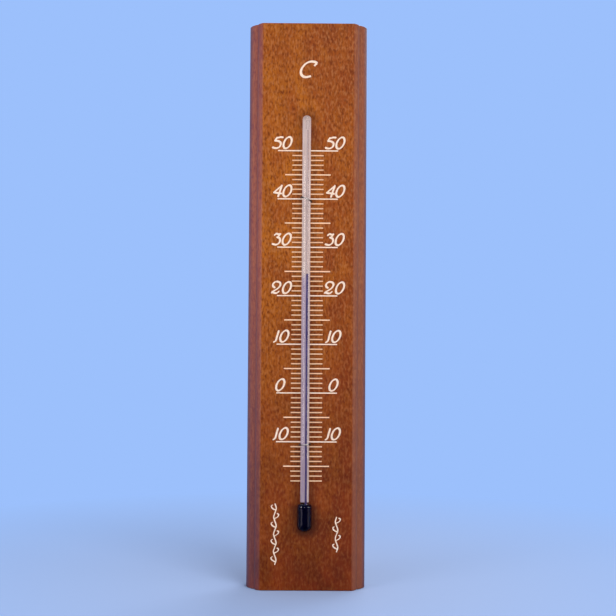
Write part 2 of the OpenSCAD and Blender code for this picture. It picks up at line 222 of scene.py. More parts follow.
def streaks(tree, where, width, length, layers, roughness=0.55):
    # Noise drawn out along the grain: its size across and along it in mm, and its finer layers
    scale = (1 / (width * mm), 1 / (width * mm), 1 / (length * mm))
    stretched = addNode(tree, "Mapping", {"Vector": where, "Scale": scale}).outputs[0]
    return addNode(tree, "TexNoise", {
        "Vector": stretched, "Scale": 1.0, "Detail": layers, "Roughness": roughness}).outputs[0]


def paintOver(tree, colour, *coats):
    # Lays coats over a colour one after another; each is how much of it shows, and its colour
    for amount, coat in coats:
        colour = addNode(tree, "Mix", {0: amount, 6: colour, 7: coat}, data_type="RGBA").outputs[2]
    return colour


def between(look, name, base=0.0):
    # The settings' two lengths of that name, From and To, counted from base and in metres
    return [(base + look[name + end]) * mm for end in ("From", "To")]


# Patterns are given as width and length in mm and finer layers. A Share of several numbers holds
# the levels at which a tone begins and is full, and then the least and the most of it that shows;
# a Share of one number is the most.
woodLook = dict(
    warm="B8661A", deep="96440E", stainShare=(0.3, 0.7),  # the stain over pale and over dense wood
    mottle=(5.5, 10.0, 3.0), drift=8.5,  # per metre, how it deepens from the left to the right
    heart=(-26.0, 74.0),  # the tree's heart, beside and behind the board
    ringGap=2.6, ringWarp=5.0, ringBend=(22.0, 70.0, 1.0), taper=0.03,
    ringTone="7C3B08", ringEdge=3.0, ringShare=(0, 1, 0, 0.32),  # a ring darkens towards its edge
    fleck="702E06", flecks=(0.66, 1.5, 2.0), fleckShare=(0.46, 0.68, 0, 0.85),
    pores=(0.28, 4.0, 1.0), poreShare=(0.55, 0.7, 0, 0.28),  # three times too wide, so that they show
    gleam="C07A44", gleams=(0.8, 1.8, 1.0), gleamShare=(0.46, 0.68, 0, 0.5),
    low="4C0D02", lowPale="722406", lowPatches=(8.0, 12.0, 1.0), patchShare=(0.35, 0.65),
    lowFrom=125.0, lowTo=5.0, lowShare=0.78,  # painted shade: the wood darkens towards the board's foot
    lowGleam=0.28,  # and hides the gleams there
    topFrom=165.0, topTo=200.0, topShare=0.22,  # the wood is also a little darker towards its top
    corner="4A2010", cornerAt=17.95, cornerSpread=1.0, cornerShare=0.4,  # painted shade in the moulding's inner corner
    moulded=("A06070", "6C4A5C", "A46A52"),  # painted purple reflection on the mouldings: left, left foot (darker, painted shade), right (warmer, where more light falls)
    mouldedFrom=15.9, mouldedTo=16.6, mouldedShare=0.38, rightFrom=-1.0, rightTo=1.0,
    rim="4A3046", rimFrom=19.8, rimTo=20.8, rimShare=0.6,  # painted shade and purple reflection along the outer edge
    plainFrom=-1.0, plainTo=-0.5,  # the mouldings' tones end before the plain back
    end="5E280C", endShare=(0.6, 0.95, 0, 0.6),  # end grain, by how far it faces up or down
    groove="34160A", grooveX=-0.5, grooveFrom=22.7, grooveTo=165.6,  # painted shade beside the glass, along the groove for it
    grooveStem=1.5, grooveBulb=2.54, bulbFrom=30.3, bulbTo=29.1,  # its half width
    grooveSpread=3.5, stemShare=0.4, bulbShare=0.68,  # how far and how strongly the painted shade reaches
    frontFrom=-11.0, frontTo=-9.0,  # on the front only
    grainDepth=0.02, grainStrength=0.6, roughness=(0.36, 0.48), bending=1.5, shine=0.2,
)


def grooveShade(tree, look, axes):
    # How much painted shade falls beside the glass: the distance from an upright line, less the
    # groove's half width, which grows from the stem's to the bulb's; only at the front
    ends, widening = between(look, "groove", foot), between(look, "bulb", foot)
    beside = addNode(tree, "Math", (axes["X"], look["grooveX"] * mm), operation="SUBTRACT").outputs[0]
    nearest = addNode(tree, "MapRange", (axes["Z"], *ends, *ends)).outputs[0]
    past = addNode(tree, "Math", (axes["Z"], nearest), operation="SUBTRACT").outputs[0]
    offset = addNode(tree, "CombineXYZ", (beside, past)).outputs[0]
    apart = addNode(tree, "VectorMath", (offset,), operation="LENGTH").outputs["Value"]
    half = addNode(tree, "MapRange", (
        axes["Z"], *widening, look["grooveStem"] * mm, look["grooveBulb"] * mm)).outputs[0]
    outside = addNode(tree, "Math", (apart, half), operation="SUBTRACT").outputs[0]
    near = addNode(tree, "MapRange", (outside, 0, look["grooveSpread"] * mm, 1, 0)).outputs[0]
    strength = addNode(tree, "MapRange", (
        axes["Z"], *widening, look["stemShare"], look["bulbShare"])).outputs[0]
    gathered = addNode(tree, "Math", (near, strength), operation="MULTIPLY").outputs[0]
    front = addNode(tree, "MapRange", (axes["Y"], *between(look, "front"), 1, 0)).outputs[0]
    return addNode(tree, "Math", (gathered, front), operation="MULTIPLY").outputs[0]


def growthRings(tree, look, where, height, bend):
    # Distance from the heart, growing up the thinning trunk and bent by slow noise, counted in
    # rings; what the count has past its whole rings, to a power, darkens each one's edge
    heart = (*(value * mm for value in look["heart"]), 0)
    fromHeart = addNode(tree, "VectorMath", (where, heart), operation="SUBTRACT").outputs[0]
    flat = addNode(tree, "VectorMath", (fromHeart, (1, 1, 0)), operation="MULTIPLY").outputs[0]
    radius = addNode(tree, "VectorMath", (flat,), operation="LENGTH").outputs["Value"]
    warp = look["ringWarp"] * mm
    bent = addNode(tree, "Math", (bend, warp, radius), operation="MULTIPLY_ADD").outputs[0]
    grown = addNode(tree, "Math", (height, look["taper"], bent), operation="MULTIPLY_ADD").outputs[0]
    count = addNode(tree, "Math", (grown, look["ringGap"] * mm), operation="DIVIDE").outputs[0]
    part = addNode(tree, "Math", (count,), operation="FRACT").outputs[0]
    edge = addNode(tree, "Math", (part, look["ringEdge"]), operation="POWER").outputs[0]
    return addNode(tree, "MapRange", (edge, *look["ringShare"])).outputs[0]


def mouldingCoats(tree, look, axes):
    # Three coats on the mouldings alone, and none at the back: painted shade in the inner corner, by the
    # distance from it, then a painted purple sheen on the strip and painted shade along the rim, by the
    # distance from the middle
    ahead = addNode(tree, "MapRange", (axes["Y"], *between(look, "plain"), 1, 0)).outputs[0]
    aside = addNode(tree, "Math", (axes["X"],), operation="ABSOLUTE").outputs[0]
    fromCorner = addNode(tree, "Math", (aside, look["cornerAt"] * mm), operation="SUBTRACT").outputs[0]
    away = addNode(tree, "Math", (fromCorner,), operation="ABSOLUTE").outputs[0]
    atRight = addNode(tree, "MapRange", (axes["X"], *between(look, "right"))).outputs[0]
    towardsFoot = addNode(tree, "MapRange", (axes["Z"], *between(look, "low", foot))).outputs[0]
    # painted sheen: the backdrop's purple reflection on the left moulding, darker at its foot, warmer on the
    # right
    leftSheen, leftFootSheen, rightSheen = (linear(tone) for tone in look["moulded"])
    dulled = paintOver(tree, leftSheen, (towardsFoot, leftFootSheen), (atRight, rightSheen))
    levels = [
        # painted shade in the inner corner
        (away, 0, look["cornerSpread"] * mm, look["cornerShare"], 0),
        # painted purple sheen on the moulded strip
        (aside, *between(look, "moulded"), 0, look["mouldedShare"]),
        # painted shade and purple reflection along the outer edge
        (aside, *between(look, "rim"), 0, look["rimShare"]),
    ]
    amounts = [addNode(tree, "MapRange", level).outputs[0] for level in levels]
    shown = [addNode(tree, "Math", (amount, ahead), operation="MULTIPLY").outputs[0] for amount in amounts]
    return zip(shown, (linear(look["corner"]), dulled, linear(look["rim"])))


def stainedBeech(look):
    # Beech, planed and moulded, wiped with an orange-brown stain and varnished: short dark
    # flecks and pale gleams along the grain, faint rings, painted shade in the moulding's corner
    material, tree, where = newMaterial("stainedBeech")
    axes = addNode(tree, "SeparateXYZ", (where,)).outputs
    bend, patches, flecks, gleams, pores, lowPatches = (
        streaks(tree, where, *look[name])
        for name in ("ringBend", "mottle", "flecks", "gleams", "pores", "lowPatches"))
    mottle = addNode(tree, "Math", (axes["X"], look["drift"], patches), operation="MULTIPLY_ADD").outputs[0]
    dense, flecked, gleaming, porous, patched = (
        addNode(tree, "MapRange", (level, *look[name])).outputs[0]
        for level, name in ((mottle, "stainShare"), (flecks, "fleckShare"), (gleams, "gleamShare"),
                            (pores, "poreShare"), (lowPatches, "patchShare")))
    darker = paintOver(tree, linear(look["low"]), (patched, linear(look["lowPale"])))
    towardsFoot, towardsTop, bright = (
        addNode(tree, "MapRange", (axes["Z"], *between(look, end, foot), *shares)).outputs[0]
        for end, shares in (("low", (0, look["lowShare"])), ("top", (0, look["topShare"])),
                            ("low", (1, look["lowGleam"]))))
    shining = addNode(tree, "Math", (gleaming, bright), operation="MULTIPLY").outputs[0]
    facing = addNode(tree, "SeparateXYZ", (addNode(tree, "TexCoord").outputs["Normal"],)).outputs["Z"]
    upright = addNode(tree, "Math", (facing,), operation="ABSOLUTE").outputs[0]
    colour = paintOver(
        tree, linear(look["warm"]),
        (dense, linear(look["deep"])),
        (growthRings(tree, look, where, axes["Z"], bend), linear(look["ringTone"])),
        (flecked, linear(look["fleck"])),
        # painted shade: darker towards the foot
        (towardsFoot, darker),
        # a little darker towards the top
        (towardsTop, darker),
        (shining, linear(look["gleam"])),
        (porous, linear(look["fleck"])),
        *mouldingCoats(tree, look, axes),
        # painted shade beside the glass and its bulb
        (grooveShade(tree, look, axes), linear(look["groove"])),
        (addNode(tree, "MapRange", (upright, *look["endShare"])).outputs[0], linear(look["end"])))

    relief = addNode(tree, "Math", (flecks, pores), operation="ADD").outputs[0]
    bump = addNode(tree, "Bump", {
        "Height": relief, "Distance": look["grainDepth"] * mm, "Strength": look["grainStrength"]})
    roughness = addNode(tree, "MapRange", (mottle, *look["stainShare"], *look["roughness"])).outputs[0]
    shader = addNode(tree, "BsdfPrincipled", {
        "Base Color": colour, "Roughness": roughness, "Normal": bump.outputs[0],
        "IOR": look["bending"], "Specular IOR Level": look["shine"]})
    addNode(tree, "OutputMaterial", {"Surface": shader.outputs[0]})
    return material


# Each ink's tone where its film is full and where it is thin: fine lines take less ink, so that
# more of the wood's colour comes through them
inkLook = dict(
    creamInk=("FFE6CC", "EBC49E"), fineInk=("FFD6AE", "F6C092"), finestInk=("F0C49A", "DCA87C"),
    speckle=(0.25, 0.5, 1.0), grain=(0.3, 2.0, 2.0), thinShare=(0.2, 0.42, 0, 0.55),
    depth=0.012, strength=0.5, roughness=(0.3, 0.7, 0.5, 0.62),
)


def printedInk(name, look):
    # Screen-printed opaque ink: cream and nearly matt, a little thinner over the wood's grain
    full, thin = (linear(tone) for tone in look[name])
    material, tree, where = newMaterial(name)
    speckle, grain = (streaks(tree, where, *look[pattern]) for pattern in ("speckle", "grain"))
    cover = addNode(tree, "Math", (speckle, grain), operation="MULTIPLY").outputs[0]
    thinned = addNode(tree, "MapRange", (cover, *look["thinShare"])).outputs[0]
    bump = addNode(tree, "Bump", {
        "Height": cover, "Distance": look["depth"] * mm, "Strength": look["strength"]})
    roughness = addNode(tree, "MapRange", (speckle, *look["roughness"])).outputs[0]
    shader = addNode(tree, "BsdfPrincipled", {
        "Base Color": paintOver(tree, full, (thinned, thin)), "Roughness": roughness,
        "Normal": bump.outputs[0]})
    addNode(tree, "OutputMaterial", {"Surface": shader.outputs[0]})
    return material


# chamberGlass bends light less than real glass: with the full bending the chamber's outline
# shows as a dark loop in the tube's tip, where the real one can't be made out
glassLook = dict(
    tint="F6F8FA", bending=dict(drawnGlass=1.48, chamberGlass=1.12),
    ripple=(1.5, 60.0, 0.0), depth=0.01, strength=0.1,
)


def drawnGlass(name, look):
    # Soft soda glass, drawn and flame-closed: clear and smooth, with faint ripples along it.
    # Lamps' rays pass straight through, so that the enamel and the wood behind it are lit.
    material, tree, where = newMaterial(name)
    bump = addNode(tree, "Bump", {
        "Height": streaks(tree, where, *look["ripple"]), "Distance": look["depth"] * mm,
        "Strength": look["strength"]})
    clear = addNode(tree, "BsdfPrincipled", {
        "Base Color": linear(look["tint"]), "Roughness": 0.0, "IOR": look["bending"][name],
        "Transmission Weight": 1.0, "Normal": bump.outputs[0]}).outputs[0]
    straightOn = addNode(tree, "BsdfTransparent", {"Color": linear(look["tint"])}).outputs[0]
    ray = addNode(tree, "LightPath").outputs["Is Shadow Ray"]
    mixed = addNode(tree, "MixShader", (ray, clear, straightOn)).outputs[0]
    addNode(tree, "OutputMaterial", {"Surface": mixed})
    return material


enamelLook = dict(
    full="F2E0DC", dull="E4D0CC", streak=(0.4, 14.0, 2.0), dullShare=(0.35, 0.65),
    edge="FAC2AA", middle=-0.5, edgeFrom=0.65, edgeTo=1.25, roughness=0.6,
)


def fusedEnamel(look):
    # Opal enamel drawn into the glass: white, faintly streaked along the stem, thin at its
    # edges where the wood's colour comes through, and without a shine of its own
    material, tree, where = newMaterial("fusedEnamel")
    streak = streaks(tree, where, *look["streak"])
    dulled = addNode(tree, "MapRange", (streak, *look["dullShare"])).outputs[0]
    sideways = addNode(tree, "SeparateXYZ", (where,)).outputs["X"]
    fromMiddle = addNode(tree, "Math", (sideways, look["middle"] * mm), operation="SUBTRACT").outputs[0]
    aside = addNode(tree, "Math", (fromMiddle,), operation="ABSOLUTE").outputs[0]
    thinned = addNode(tree, "MapRange", (aside, *between(look, "edge"))).outputs[0]
    colour = paintOver(
        tree, linear(look["full"]), (dulled, linear(look["dull"])), (thinned, linear(look["edge"])))
    shader = addNode(tree, "BsdfPrincipled", {
        "Base Color": colour, "Roughness": look["roughness"], "Specular IOR Level": 0.0})
    addNode(tree, "OutputMaterial", {"Surface": shader.outputs[0]})
    return material


# Each spirit's tone where it is thin and where it is deep, and the light that it lets pass
spiritLook = dict(
    bulbSpirit=("080824", "04041A", "080818"), threadSpirit=("6A5E92", "564C7E", "8494FF"),
    cloud=(0.8, 5.0, 1.0), deepShare=(0.3, 0.7), roughness=0.7,
)


def dyedSpirit(name, look):
    # Dyed spirit sealed in glass: dark where it lies deep, with no shine of its own, and
    # throwing a shadow in the colour that it lets pass
    thin, deep, passed = (linear(tone) for tone in look[name])
    material, tree, where = newMaterial(name)
    cloud = streaks(tree, where, *look["cloud"])
    depth = addNode(tree, "MapRange", (cloud, *look["deepShare"])).outputs[0]
    dyed = addNode(tree, "BsdfPrincipled", {
        "Base Color": paintOver(tree, thin, (depth, deep)), "Roughness": look["roughness"],
        "Specular IOR Level": 0.0}).outputs[0]
    stained = addNode(tree, "BsdfTransparent", {"Color": passed}).outputs[0]
    ray = addNode(tree, "LightPath").outputs["Is Shadow Ray"]
    mixed = addNode(tree, "MixShader", (ray, dyed, stained)).outputs[0]
    addNode(tree, "OutputMaterial", {"Surface": mixed})
    return material


steelLook = dict(
    bright="F6F5F2", dull="CCCAC8", hazeSize=0.3, hazeLayers=3.0, dullShare=(0.35, 0.65),
    legShade="1A0E08", legShadeFrom=-14.5, legShadeTo=-13.9,  # painted shade on the legs where they go into the wood; depths, from the bend to the legs
    depth=0.006, strength=0.5, roughness=(0.3, 0.7, 0.24, 0.42),
)


def drawnSteel(look):
    # Bright steel wire, drawn through a die: a little dulled, with painted shade where
    # its legs go down into the wood. The haze is coarser than a die's marks, so that it shows.
    material, tree, where = newMaterial("drawnSteel")
    haze = addNode(tree, "TexNoise", {
        "Vector": where, "Scale": 1 / (look["hazeSize"] * mm), "Detail": look["hazeLayers"]}).outputs[0]
    depth = addNode(tree, "SeparateXYZ", (where,)).outputs["Y"]
    dulled = addNode(tree, "MapRange", (haze, *look["dullShare"])).outputs[0]
    # painted shade on the legs, by depth
    darkened = addNode(tree, "MapRange", (depth, *between(look, "legShade"))).outputs[0]
    colour = paintOver(
        tree, linear(look["bright"]), (dulled, linear(look["dull"])), (darkened, linear(look["legShade"])))
    bump = addNode(tree, "Bump", {
        "Height": haze, "Distance": look["depth"] * mm, "Strength": look["strength"]})
    roughness = addNode(tree, "MapRange", (haze, *look["roughness"])).outputs[0]
    shader = addNode(tree, "BsdfPrincipled", {
        "Base Color": colour, "Metallic": 1.0, "Roughness": roughness, "Normal": bump.outputs[0]})
    addNode(tree, "OutputMaterial", {"Surface": shader.outputs[0]})
    return material


# Each zinc's pale and dull tone, and the size of its spangles
zincLook = dict(
    zincPlate=("BABCBC", "8A8C8E", 1.4), zincScrew=("8E8F8E", "5C5E60", 0.6),
    hazeSize=0.25, hazeLayers=4.0, dullShare=(0.0, 0.6), depth=0.01, strength=0.4, roughness=(0.28, 0.44),
)


def zincPlating(name, look):
    # Zinc-plated steel: small spangles of differing grey under a thin haze
    pale, dull, spangle = look[name]
    material, tree, where = newMaterial(name)
    cells = addNode(tree, "TexVoronoi", {"Vector": where, "Scale": 1 / (spangle * mm)}).outputs["Color"]
    tone = addNode(tree, "SeparateColor", (cells,)).outputs[0]
    haze = addNode(tree, "TexNoise", {
        "Vector": where, "Scale": 1 / (look["hazeSize"] * mm), "Detail": look["hazeLayers"]}).outputs[0]
    mixed = addNode(tree, "Math", (tone, haze), operation="MULTIPLY").outputs[0]
    dulled = addNode(tree, "MapRange", (mixed, *look["dullShare"])).outputs[0]
    bump = addNode(tree, "Bump", {
        "Height": haze, "Distance": look["depth"] * mm, "Strength": look["strength"]})
    roughness = addNode(tree, "MapRange", (mixed, *look["dullShare"], *look["roughness"])).outputs[0]
    shader = addNode(tree, "BsdfPrincipled", {
        "Base Color": paintOver(tree, linear(pale), (dulled, linear(dull))),
        "Metallic": 1.0, "Roughness": roughness, "Normal": bump.outputs[0]})
    addNode(tree, "OutputMaterial", {"Surface": shader.outputs[0]})
    return material


wood = stainedBeech(woodLook)
creamInk, fineInk, finestInk = (printedInk(name, inkLook) for name in ("creamInk", "fineInk", "finestInk"))
clearGlass, chamberGlass = (drawnGlass(name, glassLook) for name in ("drawnGlass", "chamberGlass"))
enamel = fusedEnamel(enamelLook)
bulbSpirit, threadSpirit = (dyedSpirit(name, spiritLook) for name in ("bulbSpirit", "threadSpirit"))
wireSteel = drawnSteel(steelLook)
plateZinc, screwZinc = (zincPlating(name, zincLook) for name in ("zincPlate", "zincScrew"))
print("materials made")


# The glass: one blown and drawn piece, with its bore and bulb hollow inside
glass = dict(
    centre=(-0.5, -12.6), stem=1.5, bulb=2.54, wall=0.45,
    bore=0.25, boreAside=0.3, leadPower=6,  # the bore stands beside the axis; the neck leads there
    bulbFoot=20.5, dome=2.2, bulbLength=6.4, shoulder=1.2,
    tip=166.9, tipLength=1.3, tipGlass=0.4,
    chamber=0.45, chamberLength=3.5, swell=3.0,  # the bore opens over three times what it widens by
    chamberReach=0.9,  # its wall lies nearer to the axis than this, and the stem's lies further out
    steps=96, footSteps=20, shoulderSteps=14, tipSteps=16, hollowSteps=16, chamberSteps=10, swellSteps=8,
)
wallZ = glass["bulbFoot"] + glass["dome"]  # where the bulb's round bottom ends
shoulderZ = wallZ + glass["bulbLength"]
stemZ = shoulderZ + glass["shoulder"]
neckZ = stemZ - glass["wall"]  # where the bulb's hollow meets the bore
tipZ = glass["tip"] - glass["tipLength"]  # where the stem begins to close
chamberTop = tipZ - glass["tipGlass"]
chamberZ = chamberTop - glass["chamberLength"]


def straight(radius, low, high, near=0.1, far=0.6):
    # A straight wall, with rings near its ends so that its shading stays straight
    heights = np.array([low + near, low + far, high - far, high - near])
    return np.stack([np.full(len(heights), radius), heights], -1)


def glassOutline(g, gap):
    # Outer outline, larger by gap: round bottom, wall, shoulder, stem and round tip
    bend = ellipseArc(g["bulb"] - g["stem"], g["shoulder"], shoulderZ + gap, 0, 90, g["shoulderSteps"])
    return np.concatenate([
        ellipseArc(g["bulb"] + gap, g["dome"] + gap, wallZ, -90, 0, g["footSteps"]),
        straight(g["bulb"] + gap, wallZ, shoulderZ),
        bend + (g["stem"] + gap, 0),
        straight(g["stem"] + gap, stemZ, tipZ),
        ellipseArc(g["stem"] + gap, g["tipLength"] + gap, tipZ, 0, 90, g["tipSteps"])])


def bulbHollow(g, grow):
    # Hollow of the bulb, larger by grow, from its bottom up to the bore
    inner, bore = g["bulb"] - g["wall"] + grow, g["bore"] + grow
    bendZ = neckZ - g["shoulder"]
    bend = ellipseArc(inner - bore, g["shoulder"], bendZ, 0, 90, g["shoulderSteps"])
    return np.concatenate([
        ellipseArc(inner, g["dome"] - g["wall"] + grow, wallZ, -90, 0, g["hollowSteps"]),
        straight(inner, wallZ, bendZ),
        bend + (bore, 0)])


def leadAside(g, outline):
    # How far each circle of a hollow lies beside the axis: nothing in the bulb, and up the
    # shoulder the bore's distance times a power of the share of the shoulder that is past
    past = np.clip((outline[:, 1] - neckZ) / g["shoulder"] + 1, 0, 1)
    return g["boreAside"] * past ** g["leadPower"]


def glassHollow(g):
    # Hollow of bulb, bore and chamber: the bore opens along half a cosine wave, and the chamber
    # closes in a half ball
    rise = g["chamber"] - g["bore"]
    along = np.linspace(0, 1, g["swellSteps"])
    ease = (1 - np.cos(np.pi * along)) / 2
    opening = np.stack([g["bore"] + rise * ease, chamberZ + g["swell"] * rise * along], -1)
    closing = ellipseArc(g["chamber"], g["chamber"], chamberTop - g["chamber"], 0, 90, g["chamberSteps"])
    return np.concatenate([bulbHollow(g, 0), straight(g["bore"], neckZ, chamberZ), opening, closing])


outside = lathe(glassOutline(glass, 0) + (0, foot), glass["centre"], glass["steps"])
hollow = glassHollow(glass)[::-1]
inside = lathe(hollow + (0, foot), glass["centre"], glass["steps"] // 2, leadAside(glass, hollow))
glassTube = makePiece("glassTube", [outside, inside], clearGlass, turnOut=False)
place(shadeSmooth(glassTube, sharpAngle=60), "thermometer", "clear_glass", "glass_tube")

# The chamber's wall takes the glass that bends light less, and so does the very end of the tip
glassTube.data.materials.append(chamberGlass)
middles = np.empty(3 * len(glassTube.data.polygons))
glassTube.data.polygons.foreach_get("center", middles)
middles = middles.reshape(-1, 3) / mm - (*glass["centre"], foot)
fromAxis = np.hypot(middles[:, 0], middles[:, 1])
inChamber = (middles[:, 2] > chamberZ) & (fromAxis < glass["chamberReach"])
glassTube.data.polygons.foreach_set("material_index", inChamber.astype(int))

# Enamel: a sector behind the bore, fused in just under the glass's surface up to the tip
stripe = dict(
    halfAngle=62, skin=0.012, rise=0.4, steps=40,
    inner=0.2, towardsOuter=0.7,  # how far the inner arc lies from this radius towards the outer arc
    tipFirst=0.001, tipFrom=0.1, tipTo=0.95, tipSteps=9,  # shares of the tip's length
)


def stripeRings(s, g):
    # At each height, an arc just under the glass and one nearer to the axis. In the tip both
    # shrink with the glass, whose radius at share t of the tip's length is stem * sqrt(1 - t^2).
    share = np.concatenate([[0, s["tipFirst"]], np.linspace(s["tipFrom"], s["tipTo"], s["tipSteps"])])
    below = straight(1, stemZ + s["rise"], tipZ)[:, 1]
    heights = np.concatenate([below, tipZ + share * g["tipLength"]])
    far = g["stem"] * np.concatenate([np.ones(len(below)), np.sqrt(1 - share ** 2)]) - s["skin"]
    near = far * s["towardsOuter"] + (1 - s["towardsOuter"]) * s["inner"]
    angle = np.radians(np.linspace(90 - s["halfAngle"], 90 + s["halfAngle"], s["steps"]))
    arc = np.stack([np.cos(angle), np.sin(angle)], -1)
    flat = np.concatenate([far[:, None, None] * arc, near[:, None, None] * arc[::-1]], 1) + g["centre"]
    upright = np.broadcast_to(heights[:, None, None] + foot, flat.shape[:2] + (1,))
    return np.concatenate([flat, upright], -1)


enamelStripe = shadeSmooth(makePiece("enamelStripe", [loft(stripeRings(stripe, glass))], enamel))
place(enamelStripe, "thermometer", "white_enamel", "enamel_stripe")

# Spirit: it reaches a hair into the glass, so that no air shows between them
spirit = dict(
    reading=24.45, grow=0.01, headLength=6.0, meniscus=0.12, steps=32, bulbSteps=64, surfaceSteps=8,
)
level = heightAt(spirit["reading"])
threadRadius = glass["bore"] + spirit["grow"]
headZ = level - spirit["headLength"]
filled = np.concatenate([bulbHollow(glass, spirit["grow"]), [[0, neckZ]]])
bulbful = lathe(filled + (0, foot), glass["centre"], spirit["bulbSteps"], leadAside(glass, filled))
spiritInBulb = shadeSmooth(makePiece("spiritInBulb", [bulbful], bulbSpirit))
place(spiritInBulb, "thermometer", "blue_spirit", "bulb_liquid")

column = np.array([[0, neckZ], [threadRadius, neckZ], [threadRadius, headZ], [0, headZ]]) + (0, foot)
thread = lathe(column, glass["centre"], spirit["steps"], glass["boreAside"])
spiritThread = shadeSmooth(makePiece("spiritThread", [thread], threadSpirit))
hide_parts("liquid_column")
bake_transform(spiritThread)

# The head's surface is hollow, lower by the meniscus in its middle than at the glass
fromMiddle = np.linspace(1, 0, spirit["surfaceSteps"])
surface = np.stack([threadRadius * fromMiddle, level - spirit["meniscus"] * (1 - fromMiddle ** 2)], -1)
head = np.concatenate([[[0, headZ], [threadRadius, headZ]], surface]) + (0, foot)
headTurned = lathe(head, glass["centre"], spirit["steps"], glass["boreAside"])
spiritHead = shadeSmooth(makePiece("spiritHead", [headTurned], threadSpirit))
place(spiritHead, "liquid_top", "blue_spirit", "liquid_head")
print("glass and spirit made")


# Wire clips: staples bent round the stem, their legs driven into the wood
clip = dict(
    wire=0.225, bend=1.95, snug=0.01, legDepth=4.0, faceY=-12.0, holeRoom=0.03,
    sides=20, legSteps=12, bendSteps=41,
)
clipPlaces = dict(upperClip=(39.9, 24.0), lowerClip=(-10.5, -4.0))  # reading and slant in degrees


def clipPath(c, height, slant):
    # Leg, half circle and leg in a plane that is turned by slant about the board's depth
    bendY = glass["centre"][1] + c["bend"] - c["wire"] - glass["stem"] - c["snug"]
    legs = np.linspace(c["faceY"] + c["legDepth"], bendY, c["legSteps"])
    angle = np.radians(np.linspace(180, 360, c["bendSteps"]))[1:-1]
    side = np.full(c["legSteps"], c["bend"])
    sideways = np.concatenate([-side, c["bend"] * np.cos(angle), side])
    depth = np.concatenate([legs, bendY + c["bend"] * np.sin(angle), legs[::-1]])
    lean = math.radians(slant)
    path = np.stack([sideways * math.cos(lean) + glass["centre"][0], depth,
                     height + foot - sideways * math.sin(lean)], -1)
    return path, np.array([math.sin(lean), 0, math.cos(lean)])


cutters = []
for name, (reading, slant) in clipPlaces.items():
    path, normal = clipPath(clip, heightAt(reading), slant)
    wire = makePiece(name, [wireAlong(path, normal, clip["wire"], clip["sides"])], wireSteel)
    place(shadeSmooth(wire), "thermometer", "steel_wire", name.replace("Clip", "_wire_clip"))
    cutters.append(wireAlong(path, normal, clip["wire"] + clip["holeRoom"], clip["sides"]))


# Board: a moulded section carried up from the bottom edge, its ends' edges rounded over
board = dict(
    width=42.0, height=200.0, thickness=12.0, moulding=4.9,
    upperWidth=1.7, upperDrop=1.5, upperBow=0.14, stepLean=0.2, stepDrop=0.8,
    lowerDrop=3.9, lowerBow=0.5, backChamfer=0.5,
    sanding=0.15, sandingSteps=5, bellSteps=20,  # sanding rounds every edge by about this
    turnStep=3.0, endRound=0.22, endSteps=5, grooveRoom=0.05,
)
hanger = dict(
    plateThick=1.2, plateWidth=14.0, corner=4.0, gap=0.1, entry=4.0, slotHeight=9.0, slotHalf=2.1,
    pocketRadius=4.6, pocketDepth=5.5, screwRadius=1.25, headRadius=2.4, screwLength=8.2,
    web=1.2, rim=1.8, room=0.01, holeSteps=36,
    behind=1.0, within=0.5,  # cutters begin behind the board's back, or within the plate's recess
)


def bowed(start, end, sag, count=40):
    # Points from start towards end on a parabola that stands out by sag in its middle
    start, end = np.array(start, float), np.array(end, float)
    share = np.linspace(0, 1, count, endpoint=False)[:, None]
    ahead = (end - start) / np.linalg.norm(end - start)
    return start + (end - start) * share + np.array([ahead[1], -ahead[0]]) * sag * 4 * share * (1 - share)


def boardSection(b):
    # Right half from the middle of the front round to the middle of the back, and its mirror
    # image. Even steps along it are averaged with a bell curve, which sands the corners, and
    # a point is kept wherever the outline has turned by one more turnStep.
    front, side = -b["thickness"], b["width"] / 2
    edge = np.array([side - b["moulding"], front])
    upper = edge + (b["upperWidth"], b["upperDrop"])
    step = upper + (b["stepLean"], b["stepDrop"])
    lower = np.array([side, step[1] + b["lowerDrop"]])
    corners = [(0, front), edge, upper, step, lower,
               (side, -b["backChamfer"]), (side - b["backChamfer"], 0), (0, 0)]
    bows = [0, b["upperBow"], 0, b["lowerBow"], 0, 0, 0]
    half = np.concatenate([bowed(a, c, sag) for a, c, sag in zip(corners, corners[1:], bows)] + [[(0, 0)]])
    loop = np.concatenate([half, half[-2:0:-1] * (-1, 1)])
    closed = np.vstack([loop, loop[:1]])
    along = np.concatenate([[0], np.cumsum(np.linalg.norm(np.diff(closed, axis=0), axis=1))])
    spacing = b["sanding"] / b["sandingSteps"]
    even = np.arange(0, along[-1], spacing)
    fine = np.stack([np.interp(even, along, closed[:, i]) for i in (0, 1)], -1)
    reach = np.arange(-b["bellSteps"], b["bellSteps"] + 1)
    bell = np.exp(-(reach * spacing / b["sanding"]) ** 2 / 2)
    sanded = sum(np.roll(fine, shift, axis=0) * weight for shift, weight in zip(reach, bell / bell.sum()))
    ahead = np.roll(sanded, -1, axis=0) - sanded
    heading = np.unwrap(np.arctan2(ahead[:, 1], ahead[:, 0]))
    turned = np.cumsum(np.abs(np.diff(heading, prepend=heading[0])))
    kept = np.diff(np.floor(turned / math.radians(b["turnStep"])), prepend=-1) > 0
    return sanded[kept]


def boardRings(b):
    # The section set in by a quarter circle at both ends
    section = boardSection(b)
    ahead = np.roll(section, -1, axis=0) - np.roll(section, 1, axis=0)
    ahead /= np.linalg.norm(ahead, axis=1, keepdims=True)
    inward = np.stack([-ahead[:, 1], ahead[:, 0]], -1)
    angle = np.radians(np.linspace(0, 90, b["endSteps"]))
    inset = b["endRound"] * (1 - np.sin(angle))
    rise = b["endRound"] * (1 - np.cos(angle))
    insets = np.concatenate([inset, inset[::-1]])
    heights = np.concatenate([rise, b["height"] - rise[::-1]]) + foot
    return np.stack([np.column_stack([section + inward * d, np.full(len(section), z)])
                     for d, z in zip(insets, heights)])


